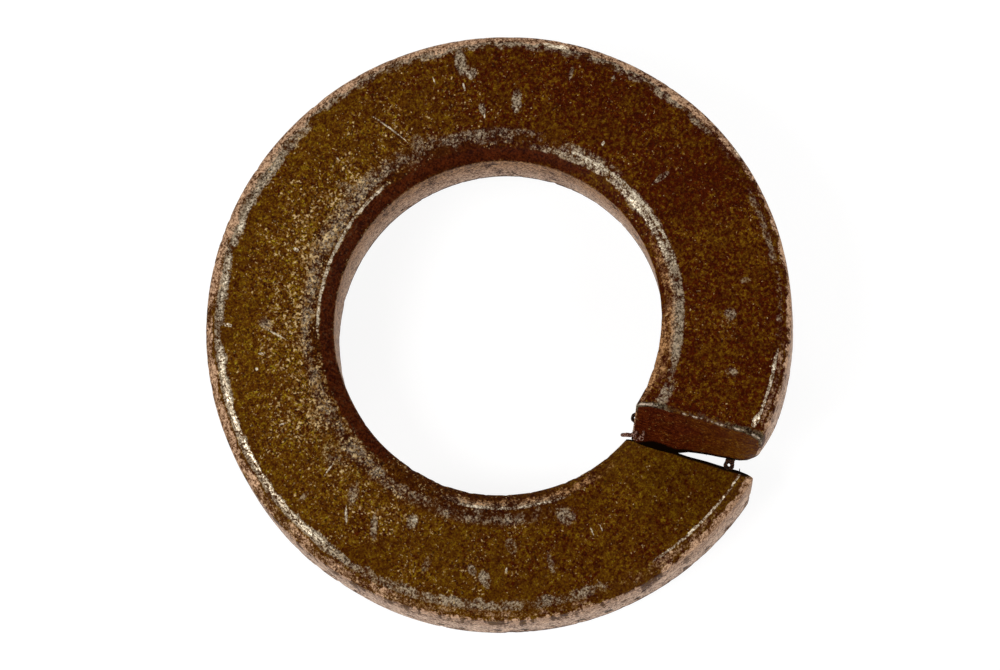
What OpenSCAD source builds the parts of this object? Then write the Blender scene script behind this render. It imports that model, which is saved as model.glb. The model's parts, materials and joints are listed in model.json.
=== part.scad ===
// Helical spring lock washer, the regular kind that goes under a 3/8 inch bolt head.
// One length of spring wire is wound into a single left-hand turn round the bore, cut through
// on a slant, and sprung open so that one end stands above the other.
// The bore runs along Z, the lowest point lies at Z = 0 and the split faces +X.

/* [Ring] */
// Bore diameter, clear of the bolt's shank
bore_d = 9.7; // [8.5:0.1:14]
// Width of the wire across the ring
wire_w = 3.8; // [2.8:0.1:6]
// Thickness of the wire along the bore
wire_t = 2.4; // [1.8:0.1:4]
// Height of the raised end's underside above the low end's top face
end_lift = 0.4; // [0.1:0.05:2]

/* [Edges] */
// Width of the rounding at each bore edge
bore_edge_w = 0.43; // [0.2:0.01:0.7]
// Depth of the rounding at each bore edge
bore_edge_h = 0.28; // [0.1:0.01:0.4]
// Width of the rounding at each rim edge
rim_edge_w = 0.45; // [0.2:0.01:0.7]
// Depth of the rounding at each rim edge
rim_edge_h = 0.34; // [0.1:0.01:0.6]
// Fall of the rim from mid thickness to the faces
rim_bow = 0.05; // [0:0.01:0.2]

/* [Split] */
// Width of the split at the middle of the wire, with the ends brought level
split_gap = 0.64; // [0.5:0.01:2]
// Turn of the low end's cut from the line through the bore axis, in degrees
low_skew = 15; // [0:0.5:22]
// Turn of the raised end's cut from the line through the bore axis, in degrees
high_skew = 20.5; // [0:0.5:25]
// Lean of both cuts from the bore axis, in degrees
cut_lean = 11.5; // [0:0.5:15]

/* [Hidden] */

full_turn = 360;
turn_steps = 96;
edge_steps = 5;
rim_steps = 4;
bore_facets = 96;
// Angle up the bore edge's ellipse at which it meets the bore, so that the edge stays crisp
bore_meet = 25;

bore_r = bore_d / 2;
mid_r = bore_r + wire_w / 2;
rim_r = bore_r + wire_w;

// The bore edge's ellipse runs a little past the bore, which then trims it to a true cylinder.
bore_edge_a = bore_edge_w / cos(bore_meet);
bore_edge_b = bore_edge_h / (1 - sin(bore_meet));

// Turn from the low end's top edge to the raised end's bottom edge, and the climb that it gives.
lean_shift = wire_t / 2 * tan(cut_lean);
facing_turn = full_turn - 2 * asin((split_gap / 2 - lean_shift) / mid_r);
turn_rise = (wire_t + end_lift) * full_turn / facing_turn;

// Quarter of an ellipse, from the angle given, as [radius, height] points.
function edge(centre, half_w, half_h, from) = [
    for (i = [0:edge_steps])
        let (a = from + 90 * i / edge_steps)
        centre + [half_w * cos(a), half_h * sin(a)]
];

// How far the rim falls in at a height on the section.
function bow(z) = rim_bow * pow(2 * z / wire_t - 1, 2);

// Rim side of the section, from the lower face up to the upper one.
function rim_side() = concat(
    edge([rim_r - rim_edge_w, rim_edge_h], rim_edge_w, rim_edge_h, -90),
    [for (i = [1:rim_steps - 1]) [rim_r, rim_edge_h + (wire_t - 2 * rim_edge_h) * i / rim_steps]],
    edge([rim_r - rim_edge_w, wire_t - rim_edge_h], rim_edge_w, rim_edge_h, 0)
);

// Bore side of the section, from the upper face down to the lower one.
function bore_side() = concat(
    edge([bore_r + bore_edge_w, wire_t - bore_edge_b], bore_edge_a, bore_edge_b, 90),
    edge([bore_r + bore_edge_w, bore_edge_b], bore_edge_a, bore_edge_b, 180)
);

// The wire's section as [radius, height] points round its outline.
outline = concat([for (p = rim_side()) p - [bow(p.y), 0]], bore_side());
points_round = len(outline);

// Angle round the ring at which a line of the wire meets a cut. Side is -1 at the low end
// and 1 at the raised one. The cut is a slanted plane through the middle of the wire.
function cut_angle(p, skew, side) =
    let (across = side * split_gap / 2 + (p.y - wire_t / 2) * tan(cut_lean))
    skew + asin((across * cos(skew) - mid_r * sin(skew)) / p.x);

// Height of a section point after the wire has climbed clockwise to an angle.
function climbed(p, angle) = p.y - turn_rise * angle / full_turn;

lowest = min([for (p = outline) climbed(p, cut_angle(p, low_skew, -1))]);

// A section point carried along the wire, from 0 at the low end to 1 at the raised end.
function wire_point(p, along) =
    let (
        start = cut_angle(p, low_skew, -1),
        finish = cut_angle(p, high_skew, 1) - full_turn,
        angle = start + (finish - start) * along
    )
    [p.x * cos(angle), p.x * sin(angle), climbed(p, angle) - lowest];

// Mean of a list of points, as a row of ones times the list.
function average(points) = [for (p = points) 1] * points / len(points);

// The wire before the bore is trimmed: rings of points from cut to cut, and a fan over each cut.
module wire_blank() {
    rings = [for (i = [0:turn_steps]) [for (p = outline) wire_point(p, i / turn_steps)]];
    ring_points = [for (ring = rings) each ring];
    last = turn_steps * points_round;
    low_hub = len(ring_points);
    high_hub = low_hub + 1;
    sides = [
        for (i = [0:turn_steps - 1], j = [0:points_round - 1])
            let (
                a = i * points_round + j,
                b = i * points_round + (j + 1) % points_round,
                c = b + points_round,
                d = a + points_round
            )
            each [[a, b, c], [a, c, d]]
    ];
    low_fan = [for (j = [0:points_round - 1]) [low_hub, (j + 1) % points_round, j]];
    high_fan = [
        for (j = [0:points_round - 1]) [high_hub, last + j, last + (j + 1) % points_round]
    ];
    polyhedron(
        points = concat(ring_points, [average(rings[0]), average(rings[turn_steps])]),
        faces = concat(sides, low_fan, high_fan)
    );
}

// The washer: the wound wire with its bore trimmed true.
module lock_washer() {
    reach = turn_rise + 2 * wire_t;
    color([0.34, 0.21, 0.07])
        difference() {
            wire_blank();
            translate([0, 0, -wire_t])
                cylinder(h = reach + wire_t, r = bore_r, $fn = bore_facets);
        }
}

lock_washer();
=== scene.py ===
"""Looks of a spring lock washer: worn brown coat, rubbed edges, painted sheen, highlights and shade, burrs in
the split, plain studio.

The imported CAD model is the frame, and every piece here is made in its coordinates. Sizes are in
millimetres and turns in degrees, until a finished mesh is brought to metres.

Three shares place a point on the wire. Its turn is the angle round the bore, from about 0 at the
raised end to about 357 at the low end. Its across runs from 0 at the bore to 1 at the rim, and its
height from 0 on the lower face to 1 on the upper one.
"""

import json
import logging
import math
from dataclasses import asdict, dataclass
from enum import Enum
from typing import Any, Callable, Optional, Sequence, Union

import bpy
from mathutils import Matrix, Vector


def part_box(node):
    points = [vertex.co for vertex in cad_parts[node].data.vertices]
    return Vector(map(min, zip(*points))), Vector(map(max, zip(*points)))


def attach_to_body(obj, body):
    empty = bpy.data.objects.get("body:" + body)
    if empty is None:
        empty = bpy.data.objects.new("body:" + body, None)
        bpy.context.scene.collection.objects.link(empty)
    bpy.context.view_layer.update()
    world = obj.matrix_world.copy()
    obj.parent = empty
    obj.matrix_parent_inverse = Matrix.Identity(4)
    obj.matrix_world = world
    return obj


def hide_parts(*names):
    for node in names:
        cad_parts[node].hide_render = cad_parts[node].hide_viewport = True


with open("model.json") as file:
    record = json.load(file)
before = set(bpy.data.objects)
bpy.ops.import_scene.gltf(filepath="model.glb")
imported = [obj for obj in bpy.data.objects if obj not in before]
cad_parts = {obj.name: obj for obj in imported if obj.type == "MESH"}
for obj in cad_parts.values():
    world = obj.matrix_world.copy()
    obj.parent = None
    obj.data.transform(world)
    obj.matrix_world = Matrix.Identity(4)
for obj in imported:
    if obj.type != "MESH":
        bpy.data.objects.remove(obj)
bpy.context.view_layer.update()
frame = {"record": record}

BODY = "root"
NODE = "lock_washer"
MM = 0.001
FULL_TURN = 360.0
WIRE_PLACE = "wire_place"
WIRE_SHARES = "wire_shares"
WIRE_ENDS = "wire_ends"
WIRE_PITS = "wire_pits"
WIRE_CUT = "cut"

log = logging.getLogger(NODE)


# ---------------------------------------------------------------------------------------------
# Node trees written as formulas
# ---------------------------------------------------------------------------------------------


class Field:
    """A number that a node tree works out, so that a formula reads as plain arithmetic."""

    def __init__(self, graph: "Graph", socket: bpy.types.NodeSocket) -> None:
        """Keeps the tree and the socket that carries the number."""
        self.graph = graph
        self.socket = socket

    def __add__(self, other: "Number") -> "Field":
        """Sum."""
        return self.graph.math("ADD", self, other)

    def __radd__(self, other: "Number") -> "Field":
        """Sum, with a plain number first."""
        return self.graph.math("ADD", other, self)

    def __sub__(self, other: "Number") -> "Field":
        """Difference."""
        return self.graph.math("SUBTRACT", self, other)

    def __rsub__(self, other: "Number") -> "Field":
        """Difference from a plain number."""
        return self.graph.math("SUBTRACT", other, self)

    def __mul__(self, other: "Number") -> "Field":
        """Product."""
        return self.graph.math("MULTIPLY", self, other)

    def __rmul__(self, other: "Number") -> "Field":
        """Product, with a plain number first."""
        return self.graph.math("MULTIPLY", other, self)

    def __truediv__(self, other: "Number") -> "Field":
        """Quotient."""
        return self.graph.math("DIVIDE", self, other)

    def __pow__(self, other: "Number") -> "Field":
        """Power."""
        return self.graph.math("POWER", self, other)

    def above(self, level: "Number") -> "Field":
        """1 where the number is above a level, and 0 elsewhere."""
        return self.graph.math("GREATER_THAN", self, level)

    def clamped(self) -> "Field":
        """The number held between 0 and 1."""
        return self.graph.math("ADD", self, 0.0, clamp=True)

    def rising(self, low: "Number", high: "Number") -> "Field":
        """A smooth step from 0 at low to 1 at high, or from 1 down to 0 where low is the larger."""
        return self.graph.map_range(self, low, high)


Number = Union[Field, float]


class Graph:
    """A node tree being wired, with short ways to add the nodes that its formulas need."""

    def __init__(self, tree: bpy.types.NodeTree) -> None:
        """Keeps the tree to wire."""
        self.tree = tree

    def node(self, kind: str, feeds: Optional[dict] = None, **settings: Any) -> bpy.types.Node:
        """Adds one node.

        Args:
            kind: Blender's name for the type of node.
            feeds: What goes into its inputs, by the input's name or index.
            settings: The node's own properties.

        Returns:
            The new node.
        """
        node = self.tree.nodes.new(kind)
        for name, value in settings.items():
            setattr(node, name, value)
        for name, value in (feeds or {}).items():
            self.feed(node.inputs[name], value)
        return node

    def feed(self, socket: bpy.types.NodeSocket, value: Any) -> None:
        """Links a field or a socket to an input, or sets the input to a plain value.

        Args:
            socket: The input to feed.
            value: A field, an output socket or a plain value.
        """
        if isinstance(value, Field):
            self.tree.links.new(value.socket, socket)
        elif isinstance(value, bpy.types.NodeSocket):
            self.tree.links.new(value, socket)
        else:
            socket.default_value = value

    def out(self, node: bpy.types.Node, name: Union[str, int] = 0) -> Field:
        """The field that one output of a node carries."""
        return Field(self, node.outputs[name])

    def math(self, operation: str, *values: Number, clamp: bool = False) -> Field:
        """One Math node.

        Args:
            operation: The node's operation.
            values: Its operands, in order.
            clamp: Whether the result is held between 0 and 1.

        Returns:
            The result.
        """
        node = self.node("ShaderNodeMath", dict(enumerate(values)), operation=operation)
        node.use_clamp = clamp
        return self.out(node)

    def largest(self, values: Sequence[Number]) -> Field:
        """The largest of several numbers, one of which at least is a field."""
        result = values[0]
        for value in values[1:]:
            result = self.math("MAXIMUM", result, value)
        return result

    def map_range(self, value: Field, low: Number, high: Number) -> Field:
        """A smooth step from 0 at low to 1 at high."""
        feeds = {0: value, 1: low, 2: high}
        return self.out(self.node("ShaderNodeMapRange", feeds, interpolation_type="SMOOTHSTEP", clamp=False))

    def vector(self, x: Number, y: Number, z: Number) -> Field:
        """A vector from its three parts."""
        return self.out(self.node("ShaderNodeCombineXYZ", {0: x, 1: y, 2: z}))

    def parts(self, vector: Field) -> list[Field]:
        """The three parts of a vector."""
        node = self.node("ShaderNodeSeparateXYZ", {0: vector})
        return [self.out(node, index) for index in range(3)]

    def scaled(self, vector: Field, factor: Number) -> Field:
        """A vector times a number."""
        feeds = {0: vector, 3: factor}
        return self.out(self.node("ShaderNodeVectorMath", feeds, operation="SCALE"))

    def ripened(self, colour: Field, power: Field) -> Field:
        """A colour made brighter and yellower by a positive power, darker and redder by a negative one.

        Args:
            colour: The colour.
            power: How many times its red doubles.

        Returns:
            The changed colour.
        """
        gains = [self.math("POWER", base, power) for base in (2.0, 3.2, 3.6)]
        return self.blend(1.0, colour, self.vector(*gains), "MULTIPLY")

    def apart(self, one: Field, other: Any) -> Field:
        """The distance between two points."""
        feeds = {0: one, 1: other}
        return self.out(self.node("ShaderNodeVectorMath", feeds, operation="DISTANCE"), 1)

    def noise(self, place: Field, grain: float, seed: float, detail: float = 2.0,
              rough: float = 0.5) -> Field:
        """A random field with lumps of a chosen size.

        Args:
            place: The point, in millimetres.
            grain: The size of the largest lumps, in millimetres.
            seed: Which of the random fields this is.
            detail: How many times finer lumps are added.
            rough: How strong the finer lumps are.

        Returns:
            A number that is mostly between 0.2 and 0.8, and 0.5 on average.
        """
        feeds = {"Vector": place, "W": seed, "Scale": 1 / grain, "Detail": detail, "Roughness": rough}
        return self.out(self.node("ShaderNodeTexNoise", feeds, noise_dimensions="4D"))

    def blend(self, share: Number, below: Any, above: Any, mode: str = "MIX") -> Field:
        """One colour laid over another.

        Args:
            share: How far the upper colour covers the lower one.
            below: The lower colour.
            above: The upper colour.
            mode: How the two are combined.

        Returns:
            The colour that results.
        """
        feeds = {0: share, 6: below, 7: above}
        return self.out(self.node("ShaderNodeMix", feeds, data_type="RGBA", blend_type=mode), 2)

    def recipe(self, name: str, inputs: Sequence[str],
               formula: Callable[[dict], Field]) -> bpy.types.NodeTree:
        """A shader group that works out one number from several, built the first time it is asked for.

        Args:
            name: The group's name.
            inputs: The names of the numbers that it takes.
            formula: What works out the result from those numbers.

        Returns:
            The group.
        """
        tree = bpy.data.node_groups.get(name)
        if tree is None:
            tree = bpy.data.node_groups.new(name, "ShaderNodeTree")
            for item in inputs:
                tree.interface.new_socket(item, in_out="INPUT", socket_type="NodeSocketFloat")
            tree.interface.new_socket("result", in_out="OUTPUT", socket_type="NodeSocketFloat")
            inner = Graph(tree)
            entry = inner.node("NodeGroupInput")
            result = formula({item: inner.out(entry, item) for item in inputs})
            inner.node("NodeGroupOutput", {0: result})
        return tree

    def use(self, tree: bpy.types.NodeTree, feeds: dict) -> Field:
        """The result of a shader group, fed by the names of its inputs."""
        return self.out(self.node("ShaderNodeGroup", feeds, node_tree=tree))

    def choose(self, index: Field, values: Sequence[Number]) -> Field:
        """One of several numbers, by a whole number. It works in geometry trees only."""
        node = self.node("GeometryNodeIndexSwitch", data_type="FLOAT")
        while len(node.index_switch_items) < len(values):
            node.index_switch_items.new()
        for place, value in enumerate([index, *values]):
            self.feed(node.inputs[place], value)
        return self.out(node)

    def named(self, name: str, kind: str = "FLOAT_VECTOR") -> Field:
        """What a mesh holds under a name. It works in geometry trees only."""
        return self.out(self.node("GeometryNodeInputNamedAttribute", {"Name": name}, data_type=kind))

    def stored(self, geometry: Field, name: str, value: Number, kind: str = "FLOAT_VECTOR",
               domain: str = "POINT") -> Field:
        """Stores a value on a mesh under a name. It works in geometry trees only.

        Args:
            geometry: The mesh.
            name: The name.
            value: The value.
            kind: Blender's name for the value's type.
            domain: What each value belongs to.

        Returns:
            The mesh with the value on it.
        """
        feeds = {"Geometry": geometry, "Name": name, "Value": value}
        return self.out(self.node("GeometryNodeStoreNamedAttribute", feeds, data_type=kind, domain=domain))

    def finished(self, geometry: Field, finish: bpy.types.Material) -> Field:
        """Brings a mesh from millimetres to metres and gives it a finish, in a geometry tree.

        Args:
            geometry: The mesh.
            finish: The finish.

        Returns:
            The mesh, realised and dressed.
        """
        feeds = {"Geometry": geometry, "Scale": (MM, MM, MM)}
        scaled = self.out(self.node("GeometryNodeTransform", feeds))
        whole = self.out(self.node("GeometryNodeRealizeInstances", {0: scaled}))
        return self.out(self.node("GeometryNodeSetMaterial", {0: whole, 2: finish}))

    def own_place(self) -> Field:
        """The point's place on its own piece, in millimetres. It works in finishes only."""
        return self.scaled(self.out(self.node("ShaderNodeTexCoord"), "Object"), 1 / MM)


def paint(colour: str) -> tuple[float, float, float, float]:
    """Turns a colour as it looks on screen into the linear values that a shader takes.

    Args:
        colour: Six hexadecimal digits, two each for red, green and blue.

    Returns:
        Linear red, green, blue and an alpha of 1.
    """
    shown = [int(colour[at:at + 2], 16) / 255 for at in (0, 2, 4)]
    red, green, blue = [(c / 12.92 if c <= 0.04045 else ((c + 0.055) / 1.055) ** 2.4) for c in shown]
    return red, green, blue, 1.0


# ---------------------------------------------------------------------------------------------
# Pieces
# ---------------------------------------------------------------------------------------------


def stand(name: str, data: Any) -> bpy.types.Object:
    """Puts a new object in the scene, at the origin.

    Args:
        name: Its name.
        data: Its mesh, lamp or lens.

    Returns:
        The object.
    """
    thing = bpy.data.objects.new(name, data)
    bpy.context.scene.collection.objects.link(thing)
    return thing


def empty_tree(name: str, sizes: Sequence[str], starts: bool = False) -> tuple[Graph, dict[str, Field]]:
    """Makes a geometry tree that has its inputs and nothing else yet.

    Args:
        name: The tree's name.
        sizes: The names of its number inputs.
        starts: Whether it also takes a mesh to start from, as the input Geometry.

    Returns:
        The tree's graph, and its inputs by name.
    """
    tree = bpy.data.node_groups.new(name, "GeometryNodeTree")
    kinds = {"Geometry": "NodeSocketGeometry"} if starts else {}
    kinds.update({size: "NodeSocketFloat" for size in sizes})
    for item, kind in kinds.items():
        tree.interface.new_socket(item, in_out="INPUT", socket_type=kind)
    tree.interface.new_socket("Geometry", in_out="OUTPUT", socket_type="NodeSocketGeometry")
    graph = Graph(tree)
    entry = graph.node("NodeGroupInput")
    return graph, {item: graph.out(entry, item) for item in kinds}


def grown(name: str, start: bpy.types.Mesh, tree: bpy.types.NodeTree,
          sizes: dict[str, float]) -> bpy.types.Object:
    """Makes a piece with a geometry tree.

    Args:
        name: The piece's name.
        start: The mesh that the tree starts from.
        tree: The tree.
        sizes: What goes into its number inputs, by name.

    Returns:
        The piece, a plain mesh object at the origin with no modifier.
    """
    holder = stand("holder", start)
    modifier = holder.modifiers.new(tree.name, "NODES")
    modifier.node_group = tree
    for item in tree.interface.items_tree:
        if item.in_out == "INPUT" and item.name in sizes:
            modifier[item.identifier] = sizes[item.name]
    bpy.context.view_layer.update()
    evaluated = holder.evaluated_get(bpy.context.evaluated_depsgraph_get())
    mesh = bpy.data.meshes.new_from_object(evaluated)
    mesh.name = name
    bpy.data.objects.remove(holder)
    return stand(name, mesh)


def attach(piece: bpy.types.Object) -> None:
    """Makes a finished piece ride with the washer."""
    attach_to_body(piece, BODY)
    log.info("%s: %d faces", piece.name, len(piece.data.polygons))


# ---------------------------------------------------------------------------------------------
# The wire
# ---------------------------------------------------------------------------------------------


class End(Enum):
    """The two ends of the wire, which face each other across the split."""

    LOW = 0
    RAISED = 1


@dataclass(frozen=True)
class Wire:
    """Sizes of the wire and of the turn that it is wound into."""

    bore_r: float
    rim_r: float
    thickness: float = 2.4
    end_lift: float = 0.4
    bore_edge_w: float = 0.43
    bore_edge_h: float = 0.28
    rim_edge_w: float = 0.45
    rim_edge_h: float = 0.34
    bore_foot_w: float = 0.34
    bore_foot_h: float = 0.20
    rim_foot_w: float = 0.18
    rim_foot_h: float = 0.08
    rim_bow: float = 0.03
    shoulder_w: float = 0.4
    shoulder_h: float = 0.035
    split_gap: float = 0.64
    low_skew: float = 15.0
    raised_skew: float = 20.5
    cut_lean: float = 11.5
    cut_ragged: float = 0.10
    raised_corner: float = 0.30
    low_hollow: float = 0.07
    raised_chamfer: float = 0.15
    raised_ease: float = 0.06
    raised_tuck: float = 0.25
    low_ease: float = 0.05

    def sizes(self) -> dict[str, float]:
        """Every size that the wound wire is made from, by name."""
        return {**asdict(self), "rise": self.rise, "foot": self.foot}

    @property
    def width(self) -> float:
        """Width of the wire across the ring."""
        return self.rim_r - self.bore_r

    @property
    def mid_r(self) -> float:
        """Radius of the middle of the wire."""
        return (self.bore_r + self.rim_r) / 2

    @property
    def rise(self) -> float:
        """Climb of the wire in a full turn."""
        lean_shift = self.thickness / 2 * math.tan(math.radians(self.cut_lean))
        open_angle = 2 * math.asin((self.split_gap / 2 - lean_shift) / self.mid_r)
        return (self.thickness + self.end_lift) / (1 - math.degrees(open_angle) / FULL_TURN)

    def cut_angle(self, radius: float, height: float, end: End) -> float:
        """Angle at which a line of the wire meets the cut of one end.

        Args:
            radius: The line's distance from the bore axis.
            height: The line's height on the section.
            end: The end that is cut.

        Returns:
            The angle round the bore, in degrees.
        """
        skew, side = (self.low_skew, -1) if end is End.LOW else (self.raised_skew, 1)
        turned = math.radians(skew)
        across = side * self.split_gap / 2
        across += (height - self.thickness / 2) * math.tan(math.radians(self.cut_lean))
        reach = (across * math.cos(turned) - self.mid_r * math.sin(turned)) / radius
        return skew + math.degrees(math.asin(reach))

    @property
    def foot(self) -> float:
        """Shift along the bore that puts the washer's lowest point at zero."""
        lowest = self.cut_angle(self.rim_r - self.rim_foot_w, 0, End.LOW)
        return self.rise * lowest / FULL_TURN

    def at_angle(self, radius: float, height: float, angle: float) -> Vector:
        """A point of the wire.

        Args:
            radius: Its distance from the bore axis.
            height: Its height on the section.
            angle: How far round the bore it lies, from 0 down to minus a full turn.

        Returns:
            The point in the washer's frame, in millimetres.
        """
        turned = math.radians(angle)
        climbed = height - self.rise * angle / FULL_TURN + self.foot
        return Vector((radius * math.cos(turned), radius * math.sin(turned), climbed))

    def end_point(self, radius: float, height: float, end: End) -> Vector:
        """A point on the cut of one end, by its radius and its height on the section."""
        angle = self.cut_angle(radius, height, end) - (FULL_TURN if end is End.RAISED else 0)
        return self.at_angle(radius, height, angle)

    def place(self, turn: float, across: float, height: float) -> Vector:
        """The point of the wire that three shares name, in the washer's frame, in millimetres."""
        radius = self.bore_r + across * self.width
        return self.at_angle(radius, height * self.thickness, turn - FULL_TURN)


@dataclass(frozen=True)
class Nick:
    """A small dent knocked into the wire."""

    turn: float
    across: float
    height: float
    size: float
    depth: float


@dataclass(frozen=True)
class WasherRing:
    """The washer's body: one turn of wire, its slanted cuts, and the dents and pits of its use."""

    wire: Wire
    steps_along: int = 660
    end_steps: int = 4
    cap_steps: int = 22
    rim_steps: int = 24
    upper_steps: int = 32
    bore_steps: int = 12
    lower_steps: int = 14
    roll_steps: int = 9
    end_round: float = 0.05
    weld: float = 0.0005
    opened_turn: float = 42.0
    tucked_turn: float = 24.0
    chamfer_turn: float = 15.0
    chamfer_fade: float = 9.0
    sprung_turns: tuple[float, float] = (265.0, 295.0)
    rim_crest: float = 35.0
    bore_crest: float = 20.0
    bore_meet: float = 25.0
    crease_angle: float = 62.0
    wave_size: float = 3.0
    wave_depth: float = 0.03
    lump_size: float = 0.8
    lump_depth: float = 0.016
    chip_size: float = 0.24
    chip_depth: float = 0.025
    pit_size: float = 0.3
    pit_depth: float = 0.04
    pit_spacing: float = 5.7
    nicks: tuple[Nick, ...] = (
        Nick(218.5, 0.09, 0.97, 0.12, 0.07),
        Nick(217.0, 0.02, 0.86, 0.10, 0.06),
        Nick(212.0, 0.84, 1.0, 0.16, 0.04),
        Nick(111.0, 0.96, 0.95, 0.20, 0.06),
        Nick(191.5, 0.41, 1.0, 0.10, 0.04),
        Nick(279.0, 0.36, 1.0, 0.22, 0.03),
        Nick(131.0, 0.72, 1.0, 0.25, 0.03),
        Nick(117.5, 0.50, 1.0, 0.22, 0.03),
        Nick(160.0, 0.40, 0.0, 0.30, 0.05),
        Nick(300.0, 0.62, 0.0, 0.24, 0.05),
        Nick(64.0, 0.97, 0.62, 0.22, 0.05),
        Nick(304.0, 1.0, 0.30, 0.24, 0.06),
        Nick(271.0, 1.0, 0.30, 1.90, 0.036),
        Nick(240.0, 0.0, 0.90, 1.80, -0.036),
    )

    @property
    def round_counts(self) -> list[int]:
        """Steps in each part of the outline, from the rim's lower edge round to the lower face."""
        roll = self.roll_steps
        return [roll, self.rim_steps, roll, self.upper_steps, roll, self.bore_steps, roll, self.lower_steps]

    # ----- section -----

    def roll(self, graph: Graph, share: Field, start: Sequence[Number], end: Sequence[Number],
             angles: tuple[float, float]) -> tuple[Field, Field]:
        """Part of an ellipse from one point to another.

        Args:
            graph: The tree.
            share: How far along the part the point is.
            start: Radius and height of the first point.
            end: Radius and height of the last point.
            angles: The ellipse's angle at each of the two points.

        Returns:
            Radius and height.
        """
        first, last = (math.radians(angle) for angle in angles)
        angle = share * (last - first) + first
        outward = (math.cos(first) - graph.math("COSINE", angle)) / (math.cos(first) - math.cos(last))
        upward = (graph.math("SINE", angle) - math.sin(first)) / (math.sin(last) - math.sin(first))
        return (start[0] + (end[0] - start[0]) * outward, start[1] + (end[1] - start[1]) * upward)

    def straight(self, share: Field, start: Sequence[Number], end: Sequence[Number]) -> tuple[Field, Field]:
        """A straight part of the section, as radius and height."""
        return (start[0] + (end[0] - start[0]) * share, start[1] + (end[1] - start[1]) * share)

    def face(self, share: Field, size: dict[str, Field], ends: tuple[Number, Number],
             level: Number, side: float) -> tuple[Field, Field]:
        """A flat face that falls away towards the bore.

        Args:
            share: How far along the face the point is.
            size: The wire's sizes, by name.
            ends: Radius of the face's first and last points.
            level: Height of its flat part.
            side: 1 on the upper face and -1 on the lower one.

        Returns:
            Radius and height.
        """
        radius = ends[0] + (ends[1] - ends[0]) * share
        beyond = radius - size["bore_r"] - size["bore_edge_w"]
        slack = (1 - beyond / size["shoulder_w"]).clamped()
        return radius, level - size["shoulder_h"] * side * slack * slack

    def section(self, graph: Graph, size: dict[str, Field], step: Field) -> tuple[Field, Field]:
        """The wire's outline, from the rim's lower edge up the rim and round by the bore.

        Args:
            graph: The tree.
            size: The wire's sizes, by name.
            step: How many steps round the outline the point is.

        Returns:
            Radius and height of the point.
        """
        thick, bore, rim = size["thickness"], size["bore_r"], size["rim_r"]
        rim_face, rim_sole = rim - size["rim_edge_w"], rim - size["rim_foot_w"]
        bore_face, bore_sole = bore + size["bore_edge_w"], bore + size["bore_foot_w"]
        fall = size["shoulder_h"]
        corners = [
            (rim_sole, 0.0), (rim, size["rim_foot_h"]),
            (rim, thick - size["rim_edge_h"]), (rim_face, thick),
            (bore_face, thick - fall), (bore, thick - size["bore_edge_h"]),
            (bore, size["bore_foot_h"]), (bore_sole, fall),
        ]
        crest, lip, meet = 90 - self.rim_crest, 90 + self.bore_crest, 180 - self.bore_meet
        rolls = {0: (-crest, 0), 2: (0, crest), 4: (lip, meet), 6: (-meet, -lip)}
        faces = {3: ((rim_face, bore_face), thick, 1.0), 7: ((bore_sole, rim_sole), 0.0, -1.0)}
        counts = self.round_counts
        starts = [sum(counts[:place]) for place in range(len(counts))]
        part = sum((step.above(start - 0.5) for start in starts[2:]), step.above(starts[1] - 0.5))
        share = (step - graph.choose(part, starts)) / graph.choose(part, counts)
        points = []
        for place, start in enumerate(corners):
            end = corners[(place + 1) % len(corners)]
            if place in rolls:
                points.append(self.roll(graph, share, start, end, rolls[place]))
            elif place in faces:
                points.append(self.face(share, size, *faces[place]))
            else:
                points.append(self.straight(share, start, end))
        radius = graph.choose(part, [point[0] for point in points])
        height = graph.choose(part, [point[1] for point in points])
        middle = (bore + rim) / 2
        rimward = ((radius - middle) / (rim_face - middle)).clamped()
        off_middle = (height / thick * 2 - 1).clamped()
        return radius - size["rim_bow"] * rimward * off_middle * off_middle, height

    # ----- winding -----

    def torn(self, size: dict[str, Field], share: Field, high: Field) -> Field:
        """How far the raised end's cut strays from a clean slant, away from the low end.

        Args:
            size: The wire's sizes, by name.
            share: The point's share of the wire's width.
            high: Its share of the wire's thickness.

        Returns:
            The shift across the split, in millimetres.
        """
        bow = 0.12 + share * 0.06 - share * share * 0.08
        slope = ((0.6 - share) * 2.9).clamped() * 0.085
        step = ((0.425 - share) * 25).clamped() * 0.08
        off_bore = (share * 3.6 - 0.1).clamped()
        foot = bow + (slope + step) * off_bore + (share - 0.5).clamped() * 0.17
        top = share * 0.38 - 0.12
        corner = ((share - 0.89) * 9.0).clamped() * (1 - high * 1.8).clamped()
        return size["raised_corner"] * corner * corner - top * high - foot * (1 - high)

    def cut_angle(self, graph: Graph, size: dict[str, Field], place: tuple[Field, Field],
                  end: End) -> Field:
        """Angle at which a line of the wire meets the cut of one end.

        Args:
            graph: The tree.
            size: The wire's sizes, by name.
            place: Radius and height of the line on the section.
            end: The end that is cut.

        Returns:
            The angle round the bore, in degrees.
        """
        radius, height = place
        skew, side = (size["low_skew"], -0.5) if end is End.LOW else (size["raised_skew"], 0.5)
        middle = (size["bore_r"] + size["rim_r"]) / 2
        turned = graph.math("RADIANS", skew)
        lean = graph.math("TANGENT", graph.math("RADIANS", size["cut_lean"]))
        across = size["split_gap"] * side + (height - size["thickness"] / 2) * lean
        rough = graph.noise(graph.vector(radius, height * 0.4, side * 20), 0.9, seed=7.0) - 0.5
        across = across + rough * size["cut_ragged"]
        share = (radius - size["bore_r"]) / (size["rim_r"] - size["bore_r"])
        if end is End.LOW:
            across = across - share * (1 - share) * 4 * size["low_hollow"]
        else:
            across = across + self.torn(size, share, height / size["thickness"])
        reach = across * graph.math("COSINE", turned) - middle * graph.math("SINE", turned)
        return skew + graph.math("DEGREES", graph.math("ARCSINE", reach / radius))

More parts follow.
